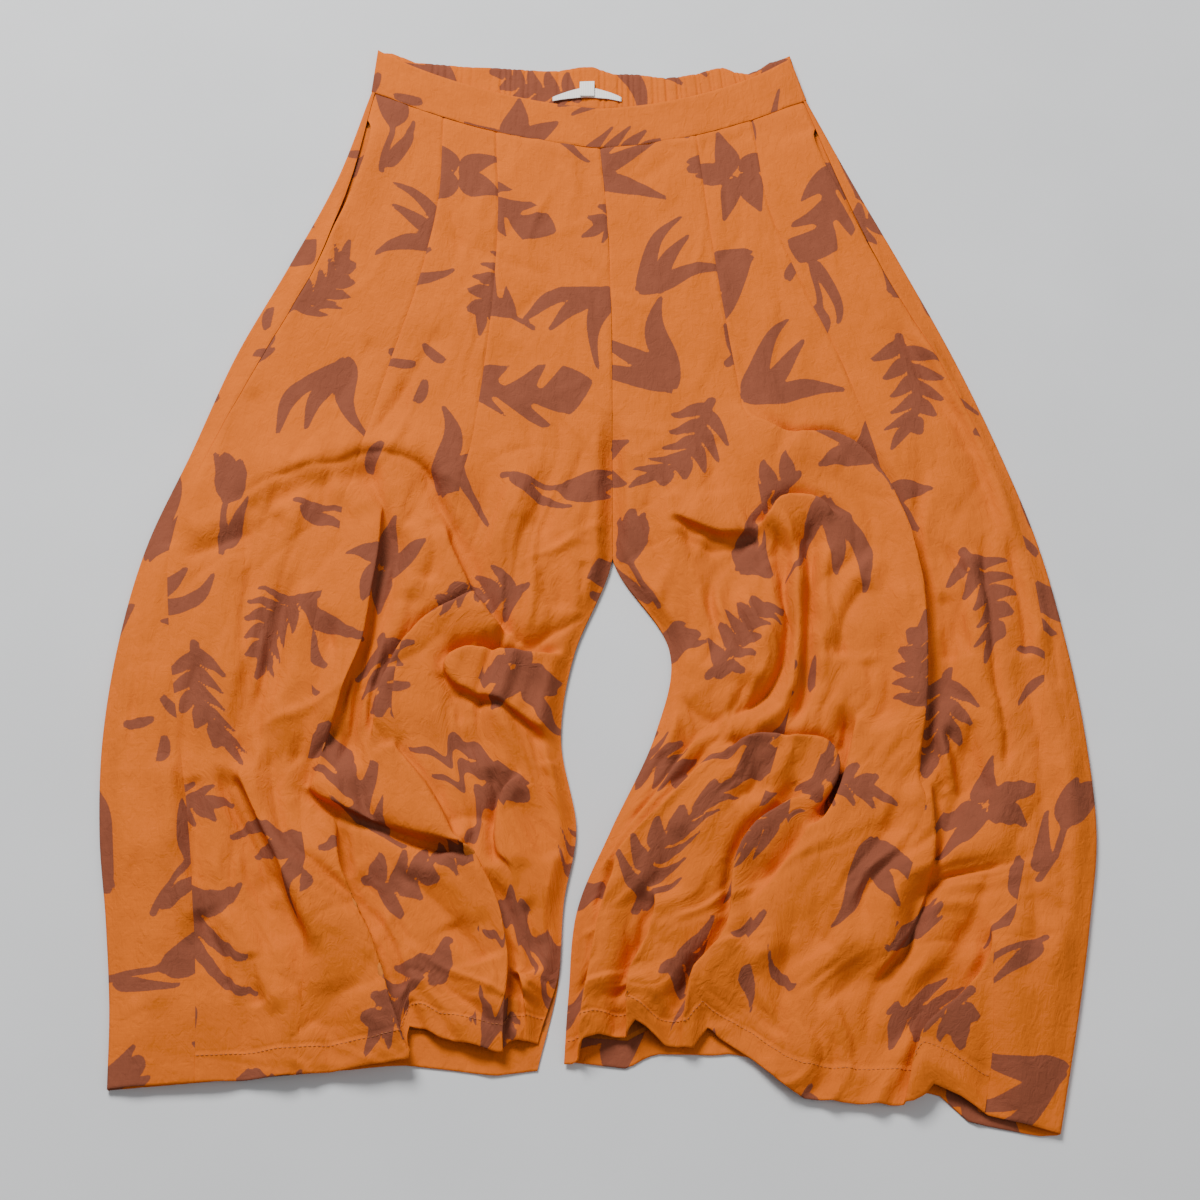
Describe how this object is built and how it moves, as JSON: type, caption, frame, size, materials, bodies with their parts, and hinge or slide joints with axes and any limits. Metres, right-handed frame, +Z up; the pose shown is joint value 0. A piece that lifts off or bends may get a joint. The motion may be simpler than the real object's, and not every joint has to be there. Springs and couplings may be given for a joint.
{
  "type": "wide leg pants",
  "caption": "Pull-on gored wide leg trousers in a printed cloth, laid flat front side up, with a shaped front band and a gathered back band.",
  "frame": {"origin": "centre of the garment's footprint, on the surface that it lies on", "axes": "+Z up from the surface, +Y from the hems towards the waist, +X towards the wearer's left leg"},
  "size_m": [0.7588, 1.008, 0.0252],
  "materials": {
    "printed_viscose": "plain woven viscose, orange with a brown print, soft and matt",
    "label_tape": "white woven tape"
  },
  "bodies": {
    "root": {"waistband_front": "printed_viscose", "waistband_back": "printed_viscose", "front_right_side": "printed_viscose", "front_right_middle": "printed_viscose", "front_right_inner": "printed_viscose", "front_left_side": "printed_viscose", "front_left_middle": "printed_viscose", "front_left_inner": "printed_viscose", "back_right": "printed_viscose", "back_left": "printed_viscose", "pocket_facing_right": "printed_viscose", "pocket_facing_left": "printed_viscose", "label": "label_tape", "size_tab": "label_tape"}
  },
  "joints": []
}
